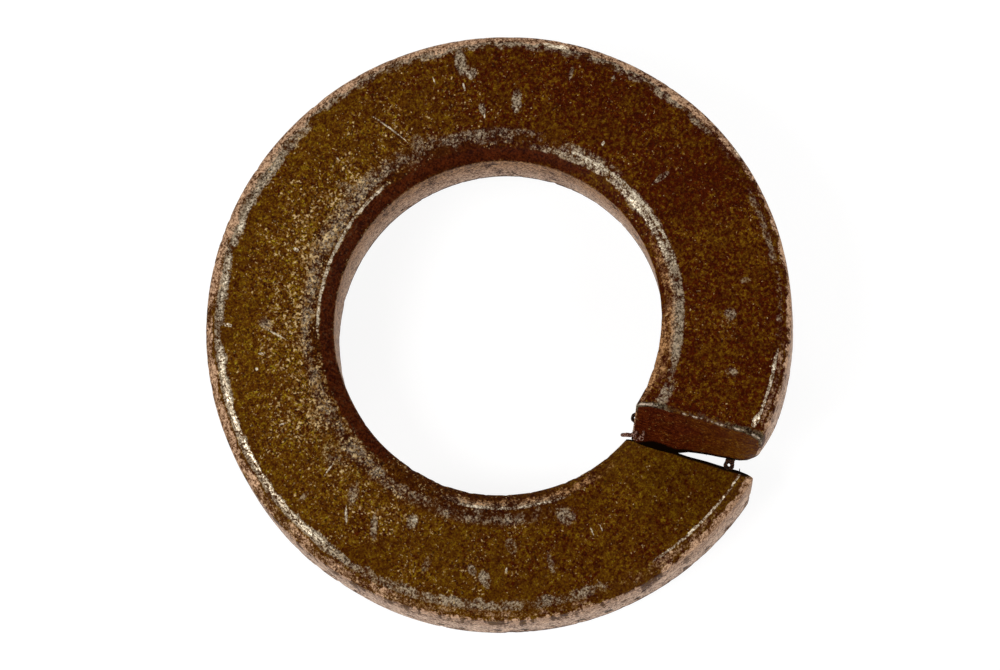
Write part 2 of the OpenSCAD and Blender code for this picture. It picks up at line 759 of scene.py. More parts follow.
    def sheets(self, graph: Graph) -> Field:
        """The flat sheets that are wound into the skin and the two cuts, joined.

        Args:
            graph: The tree.

        Returns:
            The sheets, as geometry. Their points carry how far along the wire they lie, how far
            out from the middle of the section, and the step round the outline.
        """
        round_steps = sum(self.round_counts)
        joined = graph.node("GeometryNodeJoinGeometry")
        for kind, count in (("skin", self.steps_along), ("low", self.cap_steps), ("raised", self.cap_steps)):
            sheet = graph.node("GeometryNodeMeshGrid", {
                "Size X": float(count), "Size Y": float(round_steps),
                "Vertices X": count + 1, "Vertices Y": round_steps + 1,
            })
            x, y, _ = graph.parts(graph.out(graph.node("GeometryNodeInputPosition")))
            x = x + count / 2
            y = y + round_steps / 2
            if kind == "skin":
                near_low = graph.math("DIVIDE", x, self.end_steps, clamp=True)
                near_raised = graph.math("DIVIDE", count - x, self.end_steps, clamp=True)
                middle = graph.math("DIVIDE", x - self.end_steps, count - 2 * self.end_steps, clamp=True)
                hold = self.end_round / (math.tau * self.wire.mid_r)
                low_arc = graph.math("SINE", (1 - near_low) * (math.pi / 2))
                raised_arc = graph.math("SINE", (1 - near_raised) * (math.pi / 2))
                along = middle * (1 - 2 * hold) + hold * (1 - low_arc) + hold * raised_arc
                inset = 2 - (graph.math("COSINE", (1 - near_low) * (math.pi / 2))
                             + graph.math("COSINE", (1 - near_raised) * (math.pi / 2)))
                out = 1 - inset * (self.end_round / (self.wire.thickness / 2))
            else:
                along = x * 0 + (0.0 if kind == "low" else 1.0)
                out = x * ((1 - self.end_round / (self.wire.thickness / 2)) / count)
            place = graph.vector(along, out, y)
            placed = graph.stored(graph.out(sheet), WIRE_PLACE, place)
            result = graph.stored(placed, WIRE_CUT, 0.0 if kind == "skin" else 1.0, "FLOAT", "FACE")
            if kind != "raised":
                result = graph.out(graph.node("GeometryNodeFlipFaces", {0: result}))
            graph.feed(joined.inputs[0], result)
        return graph.out(joined)

    def ease(self, size: dict[str, Field], turn: Field, across: Field, high: Field) -> Field:
        """How far outward the wire leaves the true ring near its ends.

        Args:
            size: The wire's sizes, by name.
            turn: The point's angle round the bore.
            across: Its share of the wire's width.
            high: Its share of the wire's thickness.

        Returns:
            The shift, in millimetres.
        """
        opened = ((turn - self.opened_turn) / -self.opened_turn).clamped()
        tucked = ((turn - self.tucked_turn) / -self.tucked_turn).clamped() * (1 - high)
        sprung = turn.rising(*self.sprung_turns)
        bore_side = opened * opened * size["raised_ease"] + tucked * size["raised_tuck"]
        bore_side = bore_side + sprung * size["low_ease"]
        chamfer = ((turn - self.chamfer_turn) / -self.chamfer_fade).clamped() * (1 - high * 1.4).clamped()
        return bore_side * (1 - across) - chamfer * chamfer * across * size["raised_chamfer"]

    def wound(self, graph: Graph, size: dict[str, Field], sheets: Field) -> Field:
        """Winds the sheets into the turn of wire and closes them.

        Args:
            graph: The tree.
            size: The wire's sizes, by name.
            sheets: The flat sheets.

        Returns:
            The closed wire, as geometry in millimetres, with its places stored on its points.
        """
        along, out, step = graph.parts(graph.named(WIRE_PLACE))
        radius, height = self.section(graph, size, step)
        middle = (size["bore_r"] + size["rim_r"]) / 2
        radius = middle + (radius - middle) * out
        height = size["thickness"] / 2 + (height - size["thickness"] / 2) * out
        start = self.cut_angle(graph, size, (radius, height), End.LOW)
        finish = self.cut_angle(graph, size, (radius, height), End.RAISED) - FULL_TURN
        angle = start + (finish - start) * along
        turned = graph.math("RADIANS", angle)
        across = (radius - size["bore_r"]) / (size["rim_r"] - size["bore_r"])
        shares = (angle + FULL_TURN, across, height / size["thickness"])
        reach = radius + self.ease(size, *shares)
        point = graph.vector(
            reach * graph.math("COSINE", turned), reach * graph.math("SINE", turned),
            height - size["rise"] * angle / FULL_TURN + size["foot"],
        )
        known = graph.stored(sheets, WIRE_ENDS, graph.vector(along, out, 0.0))
        known = graph.stored(known, WIRE_SHARES, graph.vector(*shares))
        placed = graph.node("GeometryNodeSetPosition", {"Geometry": known, "Position": point})
        feeds = {0: graph.out(placed), "Distance": self.weld}
        return graph.out(graph.node("GeometryNodeMergeByDistance", feeds))

    # ----- dents and pits -----

    def weathered(self, graph: Graph, solid: Field) -> Field:
        """Gives the wire the waves of its rolling, chipped edges, a pitted rim and its nicks.

        Args:
            graph: The tree.
            solid: The closed wire, as geometry in millimetres.

        Returns:
            The worn wire.
        """
        place = graph.out(graph.node("GeometryNodeInputPosition"))
        turn, across, height = graph.parts(graph.named(WIRE_SHARES))
        waves = (graph.noise(place, self.wave_size, seed=1.0, detail=1.0) - 0.5) * self.wave_depth
        lumps = (graph.noise(place, self.lump_size, seed=2.0) - 0.5) * self.lump_depth
        edges = graph.largest([across.rising(0.84, 0.92), across.rising(0.16, 0.08)])
        chips = graph.noise(place, self.chip_size, seed=3.0).rising(0.52, 0.72) * edges * self.chip_depth
        low_rim = across.rising(0.955, 0.985) * height.rising(0.30, 0.19) * height.rising(0.08, 0.14)
        row = graph.math("SINE", turn * (math.tau / self.pit_spacing) + graph.noise(place, 0.8, seed=4.0) * 5)
        broken = graph.noise(place, self.pit_size, seed=5.0).rising(0.40, 0.55)
        pits = row.rising(0.3, 0.9) * broken * low_rim
        solid = graph.stored(solid, WIRE_PITS, pits, "FLOAT")
        shift = waves + lumps - chips - pits * self.pit_depth
        for nick in self.nicks:
            centre = self.wire.place(nick.turn, nick.across, nick.height)
            dent = graph.apart(place, centre).rising(nick.size, 0.0)
            shift = shift - dent * nick.depth
        normal = graph.out(graph.node("GeometryNodeInputNormal"))
        feeds = {"Geometry": solid, "Offset": graph.scaled(normal, shift)}
        return graph.out(graph.node("GeometryNodeSetPosition", feeds))

    # ----- the whole -----

    def tree(self, coat: bpy.types.Material, cut: bpy.types.Material) -> bpy.types.GeometryNodeTree:
        """Builds the tree that makes the washer from its sizes.

        Args:
            coat: The finish of the wire's skin.
            cut: The finish of its two cuts.

        Returns:
            The tree, with one input for each size of the wire.
        """
        graph, size = empty_tree("wound_wire", list(self.wire.sizes()))
        wire = self.weathered(graph, self.wound(graph, size, self.sheets(graph)))
        crease = graph.node("GeometryNodeInputMeshEdgeAngle")
        sharp = graph.out(crease).above(math.radians(self.crease_angle))
        smooth = graph.out(graph.node("GeometryNodeSetShadeSmooth", {0: wire, 2: True}, domain="FACE"))
        feeds = {0: smooth, 1: sharp, 2: False}
        creased = graph.out(graph.node("GeometryNodeSetShadeSmooth", feeds, domain="EDGE"))
        feeds = {0: graph.finished(creased, coat), 1: graph.named(WIRE_CUT, "FLOAT").above(0.5), 2: cut}
        graph.node("NodeGroupOutput", {0: graph.out(graph.node("GeometryNodeSetMaterial", feeds))})
        return graph.tree

    def make(self, coat: bpy.types.Material, cut: bpy.types.Material) -> None:
        """Makes the washer's body and puts it in the CAD node's place.

        Args:
            coat: The finish of the wire's skin.
            cut: The finish of its two cuts.
        """
        start = bpy.data.meshes.new("wire_start")
        piece = grown("washer_body", start, self.tree(coat, cut), self.wire.sizes())
        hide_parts(NODE)
        attach(piece)


# ---------------------------------------------------------------------------------------------
# Burrs in the split
# ---------------------------------------------------------------------------------------------


@dataclass(frozen=True)
class Burr:
    """A thread of metal that the cutting left, as points from the middle of the low cut's upper edge.

    Each point gives how far it lies outward along the cut, across the split and up.
    """

    name: str
    points: tuple[tuple[float, float, float], ...]
    radius: float
    taper: float = 0.6
    # Whether the burr takes the finish with pale spots, partly painted glints.
    rubbed: bool = False


# The points of a burr's curl lie at most this many degrees apart.
CURL_STEP = 30.0


def loop(centre: tuple[float, float, float], radius: float, start: float, sweep: float,
         climb: float = 0.0) -> tuple[tuple[float, float, float], ...]:
    """Points round part of a flat loop.

    Args:
        centre: The loop's centre.
        radius: The loop's radius.
        start: The angle at which the part starts.
        sweep: The angle that the part turns through.
        climb: How far its end lies above its start.

    Returns:
        The points.
    """
    count = math.ceil(abs(sweep) / CURL_STEP)
    points = []
    for place in range(count + 1):
        angle = math.radians(start + sweep * place / count)
        points.append((
            centre[0] + radius * math.cos(angle), centre[1] + radius * math.sin(angle),
            centre[2] + climb * place / count,
        ))
    return tuple(points)


@dataclass(frozen=True)
class SplitBurrs:
    """The whisker, the curls and the hairs that the cut left in the split."""

    wire: Wire
    burrs: tuple[Burr, ...] = (
        Burr("inner_whisker", (
            (-1.60, -0.02, 1.07), (-1.75, -0.15, 1.05), (-1.90, -0.19, 1.05), (-2.06, -0.245, 1.04),
        ), 0.066, 0.15, True),
        Burr("inner_curl", (
            (-1.64, 0.03, 1.22), *loop((-1.60, -0.22, 1.20), 0.056, 120.0, 330.0, -0.08),
        ), 0.036, 0.6, True),
        Burr("middle_curl", (
            (-1.45, 0.06, 1.30), *loop((-1.43, -0.19, 1.28), 0.058, 60.0, 330.0, -0.08),
        ), 0.036, 0.6, True),
        Burr("inner_bump", (
            (-1.66, 0.38, 1.72), (-1.79, 0.34, 1.66), (-1.835, 0.28, 1.54), (-1.81, 0.22, 1.42),
            (-1.68, 0.18, 1.34),
        ), 0.056, 0.3),
        Burr("outer_curl", (
            (1.12, 0.26, 0.40), (1.08, 0.14, 0.26),
            *loop((1.15, 0.00, 0.13), 0.098, 140.0, 330.0, -0.10),
        ), 0.064, 0.1),
        Burr("outer_stem", (
            (1.18, 0.30, 0.44), (1.21, 0.20, 0.30), (1.20, 0.12, 0.18), (1.23, 0.03, 0.06),
        ), 0.088, 0.3),
        Burr("split_hair", ((0.42, 0.22, 0.42), (0.43, 0.11, 0.34), (0.45, 0.04, 0.30)), 0.014),
        Burr("edge_hair", ((1.47, -0.10, -0.07), (1.485, -0.05, 0.01), (1.475, -0.01, 0.11)), 0.018),
    )
    sides: int = 10
    rings: int = 48
    bump_size: float = 0.09
    bump_share: float = 0.9

    def tree(self, finish: bpy.types.Material) -> bpy.types.GeometryNodeTree:
        """Builds the tree that turns a chain of points into a tapered, uneven thread.

        Args:
            finish: The thread's finish.

        Returns:
            The tree, with inputs for the thread's radius and taper.
        """
        graph, given = empty_tree("burr_thread", ("radius", "taper"), starts=True)
        chain = graph.node("GeometryNodeMeshToCurve", {0: given["Geometry"]})
        curved = graph.node("GeometryNodeCurveSplineType", {0: graph.out(chain)}, spline_type="CATMULL_ROM")
        even = graph.node("GeometryNodeResampleCurve", {0: graph.out(curved), "Count": self.rings})
        factor = graph.out(graph.node("GeometryNodeSplineParameter"), "Factor")
        tip = graph.math("SQRT", 1.02 - factor ** 20)
        scale = (1 - given["taper"] * factor * factor) * tip
        feeds = {"Resolution": self.sides, "Radius": given["radius"]}
        ring = graph.node("GeometryNodeCurvePrimitiveCircle", feeds)
        feeds = {0: graph.out(even), 1: graph.out(ring), "Scale": scale, "Fill Caps": True}
        tube = graph.out(graph.node("GeometryNodeCurveToMesh", feeds))
        place = graph.out(graph.node("GeometryNodeInputPosition"))
        normal = graph.out(graph.node("GeometryNodeInputNormal"))
        bumps = (graph.noise(place, self.bump_size, seed=6.0) - 0.5) * given["radius"] * self.bump_share
        feeds = {"Geometry": tube, "Offset": graph.scaled(normal, bumps)}
        rough = graph.node("GeometryNodeSetPosition", feeds)
        smooth = graph.node("GeometryNodeSetShadeSmooth", {0: graph.out(rough), 2: True}, domain="FACE")
        graph.node("NodeGroupOutput", {0: graph.finished(graph.out(smooth), finish)})
        return graph.tree

    def make(self, dark: bpy.types.Material, rubbed: bpy.types.Material) -> None:
        """Makes every burr at its place in the split.

        Args:
            dark: The finish of most of them.
            rubbed: The finish of the rubbed ones, whose pale spots are partly painted glints.
        """
        wire = self.wire
        seat = wire.end_point(wire.mid_r, wire.thickness, End.LOW)
        skew = math.radians(wire.low_skew)
        outward = Vector((math.cos(skew), math.sin(skew), 0.0))
        over = Vector((-math.sin(skew), math.cos(skew), 0.0))
        trees = {False: self.tree(dark), True: self.tree(rubbed)}
        for burr in self.burrs:
            path = [seat + outward * x + over * y + Vector((0, 0, z)) for x, y, z in burr.points]
            chain = bpy.data.meshes.new(burr.name)
            chain.from_pydata(path, [(at, at + 1) for at in range(len(path) - 1)], [])
            sizes = {"radius": burr.radius, "taper": burr.taper}
            attach(grown(burr.name, chain, trees[burr.rubbed], sizes))


# ---------------------------------------------------------------------------------------------
# Finishes
# ---------------------------------------------------------------------------------------------


@dataclass(frozen=True)
class Band:
    """A strip of wear, or of painted light or shade, that runs round the ring, fading out at both ends and on
    both sides.
    """

    across: float
    half: float
    start: float
    end: float
    fade: float
    strength: float
    top: float = 2.0
    streaks: float = 0.0


@dataclass(frozen=True)
class Mark:
    """A rubbed spot, a scratch or a painted glint on a face: an ellipse that leans away from the ring's
    direction.
    """

    turn: float
    across: float
    length: float
    width: float
    lean: float
    strength: float


@dataclass(frozen=True)
class Overlay:
    """One overlay on the coat, a kind of wear or of painted light or shade: its colours, how it shines, how
    broken up it is, and where it lies.
    """

    dark: str
    light: str
    cover: float
    patchy: float
    metal: float
    polish: float
    bands: tuple[Band, ...]
    marks: tuple[Mark, ...] = ()
    waver: float = 1.0
    # A colour that darkens and warms the hue towards the top of the walls: painted shade.
    shade: Optional[str] = None


class Surface:
    """What a finish knows of the point that it colours."""

    # Turns the lower face's wear and painted light away from those of the upper face, so that the two differ.
    LOWER_FACE_SHIFT = 137.0
    # The turns that wear and painted light are told by, which take in the slanted tips of both ends.
    FIRST_TURN, LAST_TURN = -6.0, 363.0

    def __init__(self, graph: Graph, wire: Wire) -> None:
        """Reads the point's place on the wire.

        Args:
            graph: The finish's tree.
            wire: The wire's sizes.
        """
        self.graph = graph
        self.wire = wire
        self.place = graph.own_place()
        shares = graph.node("ShaderNodeAttribute", attribute_name=WIRE_SHARES)
        self.turn, self.across, self.height = graph.parts(graph.out(shares, "Vector"))
        ends = graph.node("ShaderNodeAttribute", attribute_name=WIRE_ENDS)
        self.along = graph.parts(graph.out(ends, "Vector"))[0]
        on_lower = self.height.rising(0.501, 0.499)
        shifted = self.turn + on_lower * self.LOWER_FACE_SHIFT
        self.face_turn = graph.math("WRAP", shifted, self.LAST_TURN, self.FIRST_TURN)
        self.level = graph.math("ABSOLUTE", self.height - 0.5) * 2
        self.grain = self.noise(0.056, seed=11.0, detail=2.0, rough=0.7)
        self.grit = self.noise(0.17, seed=12.0, detail=2.0, rough=0.6)
        self.mottle = self.noise(0.6, seed=13.0, detail=3.0, rough=0.6)
        self.drift = self.noise(2.6, seed=14.0, detail=2.0)
        self.tinge = self.noise(0.085, seed=19.0, detail=1.0, rough=0.6) - 0.5
        tone = (self.grain - 0.5) * 3.8 + (self.grit - 0.5) * 1.2 + (self.mottle - 0.5) * 0.9
        self.tone = (tone + 0.44).clamped()
        upright = graph.vector(self.turn * 0.55, self.height * 0.9, self.across * 3)
        streaks = graph.noise(upright, 1.0, seed=18.0, detail=2.0, rough=0.6).rising(0.42, 0.60)
        self.streaks = streaks * self.height.rising(0.30, 0.75)

    def noise(self, grain: float, seed: float, detail: float = 2.0, rough: float = 0.5) -> Field:
        """A random field over the surface, with lumps of a chosen size in millimetres."""
        return self.graph.noise(self.place, grain, seed, detail, rough)

    def span(self, start: float, end: float, fade: float) -> Field:
        """1 between two turns of the ring, fading to 0 beyond them."""
        opening = self.face_turn.rising(start - fade, start + fade)
        return opening * self.face_turn.rising(end + fade, end - fade)

    @staticmethod
    def strip(at: dict[str, Field]) -> Field:
        """How strong a band of wear or of painted light is at a point, or what was found there before if that
        is more.

        Args:
            at: The point's own numbers, whose names start with here, and those of the band.

        Returns:
            The larger of the two.
        """
        graph = at["found"].graph
        away = graph.math("ABSOLUTE", at["here_across"] - at["across"])
        strength = away.rising(at["half"] * 1.5, at["half"] * 0.4) * at["strength"]
        strength = strength * at["here_level"].rising(at["top"] + 0.15, at["top"] - 0.15)
        strength = strength * (1 - at["here_streaks"] * at["streaks"])
        strength = strength * at["here_turn"].rising(at["start"] - at["fade"], at["start"] + at["fade"])
        strength = strength * at["here_turn"].rising(at["end"] + at["fade"], at["end"] - at["fade"])
        return graph.math("MAXIMUM", strength, at["found"])

    @staticmethod
    def spot(at: dict[str, Field]) -> Field:
        """How strong a spot or scratch is at a point, or what was found there before if that is more.

        Args:
            at: The point's own numbers, whose names start with here, and those of the mark.

        Returns:
            The larger of the two.
        """
        graph = at["found"].graph
        radius = at["here_bore"] + at["across"] * at["here_width"]
        along = (at["here_turn"] - at["turn"]) * radius * math.radians(1)
        outward = (at["here_across"] - at["across"]) * at["here_width"]
        lean = at["lean"] * math.radians(1)
        sine, cosine = graph.math("SINE", lean), graph.math("COSINE", lean)
        length = (along * cosine + outward * sine) / (at["length"] * 0.5)
        width = (outward * cosine - along * sine) / (at["width"] * 0.5)
        strength = (length * length + width * width + at["here_waver"]).rising(1.4, 0.2) * at["strength"]
        return graph.math("MAXIMUM", strength, at["found"])

    def worn(self, overlay: Overlay) -> Field:
        """How much of the coat one overlay, wear or painted light, hides at the point.

        Args:
            overlay: The overlay.

        Returns:
            A number from 0 to the overlay's cover.
        """
        graph = self.graph
        lumps, specks, grains = self.mottle - 0.5, self.grit - 0.5, self.grain - 0.5
        wavering = self.across + (lumps * 0.08 + specks * 0.04) * overlay.waver
        strip_point = {
            "here_turn": self.face_turn, "here_across": wavering,
            "here_level": self.level, "here_streaks": self.streaks,
        }
        share = 0.0
        for band in overlay.bands:
            feeds = {"found": share, **strip_point, **asdict(band)}
            share = graph.use(graph.recipe("strip_of_wear", list(feeds), self.strip), feeds)
        spot_point = {
            "here_turn": self.face_turn, "here_across": self.across, "here_waver": (lumps + specks) * 2,
            "here_bore": self.wire.bore_r, "here_width": self.wire.width,
        }
        for mark in overlay.marks:
            feeds = {"found": share, **spot_point, **asdict(mark)}
            share = graph.use(graph.recipe("spot_of_wear", list(feeds), self.spot), feeds)
        broken = share + (lumps * 1.7 + specks * 1.3 + grains * 1.5) * overlay.patchy * (share * 0.7 + 0.3)
        return broken.rising(0.22, 0.80) * overlay.cover


def new_finish(name: str) -> tuple[bpy.types.Material, Graph, bpy.types.Node]:
    """Makes an empty material.

    Args:
        name: Its name.

    Returns:
        The material, its graph and its surface shader.
    """
    material = bpy.data.materials.new(name)
    material.use_nodes = True
    return material, Graph(material.node_tree), material.node_tree.nodes["Principled BSDF"]


def dress(graph: Graph, shader: bpy.types.Node, colour: Field, rough: Field, height: Field,
          depth: float, strength: float = 1.0, gloss: float = 0.02) -> None:
    """Gives a surface shader its colour, its roughness, a faint gloss and a fine relief.

    Args:
        graph: The finish's tree.
        shader: The surface shader.
        colour: The colour.
        rough: The roughness.
        height: The relief, in depths.
        depth: The depth of the relief, in millimetres.
        strength: How strongly the relief shows.
        gloss: The shader's specular level.
    """
    bump = graph.node("ShaderNodeBump", {"Strength": strength, "Distance": depth * MM, "Height": height})
    feeds = {"Base Color": colour, "Roughness": rough, "Specular IOR Level": gloss, "Normal": graph.out(bump)}
    for name, value in feeds.items():
        graph.feed(shader.inputs[name], value)


# Dark red-brown on the bore's rounding: partly the coat's own colour, partly painted shade where the rounding
# faces away from the lamps.
BORE_SHADE_AND_RED = Overlay(
    "1E0400", "461A05", 0.95, 0.9, 0.0, 0.0,
    (
        Band(0.050, 0.046, 96, 158, 12, 1.2),
        Band(0.052, 0.052, 156, 262, 10, 1.2),
        Band(0.115, 0.030, 128, 156, 8, 0.55),
        Band(0.090, 0.030, 216, 262, 10, 0.70),
        Band(0.045, 0.040, 262, 300, 16, 0.35),
    ),
)
# Pale walls and edge roundings: partly rubbed, partly a painted reflection of the white table, with painted
# shade towards the top of the walls.
PALE_WALLS_AND_REFLECTION = Overlay(
    "5E3A1C", "E0C2AA", 0.95, 1.05, 0.10, 0.05,
    (
        Band(0.000, 0.016, -9, 84, 12, 1.1, 0.70),
        Band(0.000, 0.016, 60, 190, 14, 0.66, 0.76),
        Band(0.000, 0.016, 176, 370, 14, 1.1, 0.74),
        Band(1.000, 0.022, -9, 342, 3, 0.86, 0.86, 0.85),
        Band(1.000, 0.030, 342, 370, 3, 1.25, 0.96),
        Band(0.976, 0.022, 344, 370, 4, 1.05),
        Band(0.990, 0.022, 8, 66, 8, 0.62),
        Band(0.968, 0.026, 60, 74, 4, 0.66),
        Band(0.965, 0.030, 72, 108, 8, 0.68),
        Band(0.964, 0.032, 104, 214, 10, 0.72),
        Band(0.930, 0.018, 118, 212, 12, 0.42),
        Band(0.962, 0.032, 202, 252, 12, 0.62),
        Band(0.962, 0.032, 248, 292, 14, 0.42),
        Band(0.935, 0.030, 322, 352, 12, 0.36),
        Band(0.955, 0.030, 292, 345, 14, 0.30),
        Band(0.940, 0.020, 8, 28, 6, 0.45),
        Band(0.080, 0.050, 4, 62, 14, 0.36),
        Band(0.020, 0.030, 1, 30, 10, 0.85),
        Band(0.080, 0.035, 285, 345, 12, 0.42),
    ),
    shade="D0B48A",
)
GREY_EDGES = Overlay(
    "2A1C0E", "A99880", 0.85, 1.30, 0.2, 0.05,
    (
        Band(0.205, 0.052, 104, 236, 20, 0.44),
        Band(0.155, 0.030, 98, 215, 16, 0.26),
        Band(0.268, 0.040, 135, 205, 20, 0.33),
        Band(0.200, 0.066, 222, 322, 20, 0.38),
        Band(0.300, 0.080, 238, 262, 16, 0.34),
        Band(0.150, 0.036, 12, 60, 12, 0.70),
        Band(0.180, 0.050, 2, 11, 3, 0.42),
        Band(0.118, 0.032, 18, 112, 12, 0.52),
        Band(0.200, 0.036, 78, 108, 12, 0.36),
        Band(0.908, 0.030, 12, 64, 12, 0.28),
        Band(0.908, 0.032, 62, 165, 14, 0.38),
        Band(0.925, 0.022, 84, 200, 12, 0.70),
        Band(0.884, 0.036, 168, 275, 12, 0.86),
        Band(0.890, 0.045, 270, 328, 12, 0.50),
        Band(0.100, 0.030, 285, 325, 10, 0.55),
    ),
    (
        Mark(130.5, 0.80, 0.95, 0.40, 88, 0.72),
        Mark(128.5, 0.71, 0.50, 0.40, 70, 0.60),
        Mark(117.5, 0.46, 0.80, 0.34, 88, 0.75),
        Mark(126.5, 0.40, 0.50, 0.24, 80, 0.55),
        Mark(299.5, 0.68, 0.66, 0.38, 70, 0.62),
        Mark(296.5, 0.62, 0.46, 0.30, 60, 0.50),
        Mark(279.0, 0.37, 0.52, 0.40, 80, 0.66),
        Mark(18.0, 0.60, 0.46, 0.34, 90, 0.40),
        Mark(32.0, 0.53, 0.50, 0.46, 10, 0.42),
        Mark(40.0, 0.66, 0.40, 0.24, 90, 0.38),
        Mark(73.0, 0.40, 0.70, 0.20, 92, 0.56),
        Mark(322.0, 0.26, 0.80, 0.60, 60, 0.50),
        Mark(306.0, 0.42, 0.60, 0.40, 70, 0.46),
        Mark(271.0, 0.55, 1.10, 0.26, 62, 0.50),
        Mark(262.0, 0.44, 0.90, 0.40, 60, 0.44),
        Mark(250.0, 0.36, 0.80, 0.60, 40, 0.44),
        Mark(212.0, 0.52, 0.60, 0.40, 110, 0.44),
        Mark(254.0, 0.72, 0.50, 0.22, 84, 0.40),
        Mark(286.0, 0.64, 0.80, 0.30, 100, 0.36),
        Mark(315.0, 0.60, 0.90, 0.26, 88, 0.36),
        Mark(97.0, 0.82, 0.24, 0.12, 88, 0.60),
        Mark(106.0, 0.75, 0.60, 0.16, 88, 0.44),
        Mark(170.0, 0.32, 0.80, 0.40, 80, 0.44),
        Mark(146.0, 0.28, 0.60, 0.50, 80, 0.44),
    ),
)
# Bright crests and spots: partly burnished metal, partly painted highlights and glints where the lamps catch
# the edges.
BURNISH_AND_HIGHLIGHTS = Overlay(
    "6A4A22", "FFF0D4", 0.92, 0.90, 0.6, 0.2,
    (
        Band(0.156, 0.040, 48, 104, 22, 0.38),
        Band(0.160, 0.013, 52, 98, 12, 1.10),
        Band(0.115, 0.024, 44, 92, 16, 0.48),
        Band(0.120, 0.013, 160, 217, 7, 0.60),
        Band(0.118, 0.013, 288, 326, 8, 0.46),
        Band(0.868, 0.010, 216, 264, 8, 0.80),
        Band(0.877, 0.020, 176, 224, 14, 0.42),
        Band(0.886, 0.015, 210, 266, 12, 0.50),
        Band(0.893, 0.012, 336, 352, 8, 0.46),
        Band(0.893, 0.012, 344, 370, 6, 0.50),
        Band(0.905, 0.015, 9, 26, 6, 0.56),
        Band(0.945, 0.016, 108.5, 113, 1.2, 1.10),
    ),
    (
        Mark(9.4, 0.895, 0.46, 0.19, 0, 0.85),
        Mark(67.0, 0.985, 0.50, 0.10, 0, 0.60),
        Mark(151.0, 0.48, 1.45, 0.060, 66, 0.62),
        Mark(130.5, 0.60, 0.30, 0.07, 84, 0.85),
        Mark(264.0, 0.60, 0.62, 0.09, 50, 0.72),
        Mark(327.0, 0.46, 0.36, 0.055, 92, 0.55),
        Mark(329.5, 0.46, 0.30, 0.050, 96, 0.50),
        Mark(214.5, 0.44, 0.60, 0.07, 120, 0.72),
        Mark(191.5, 0.40, 0.20, 0.12, 100, 1.20),
        Mark(279.5, 0.355, 0.16, 0.16, 100, 0.90),
        Mark(304.5, 0.61, 0.18, 0.07, 90, 0.90),
        Mark(137.0, 0.70, 0.32, 0.05, 86, 0.55),
        Mark(91.5, 0.325, 0.18, 0.09, 80, 0.75),
        Mark(222.5, 0.62, 0.10, 0.10, 90, 0.90),
        Mark(219.0, 0.57, 0.22, 0.07, 100, 0.70),
        Mark(237.0, 0.55, 0.26, 0.06, 98, 0.70),
        Mark(212.0, 0.82, 0.30, 0.12, 105, 0.72),
        Mark(129.0, 0.68, 0.34, 0.12, 60, 0.60),
        Mark(253.0, 0.44, 0.60, 0.06, 76, 0.60),
        Mark(166.0, 0.53, 0.24, 0.05, 86, 0.60),
        Mark(117.5, 0.39, 0.20, 0.10, 88, 0.55),
        Mark(126.0, 0.35, 0.20, 0.06, 88, 0.60),
    ),
    waver=0.35,
)


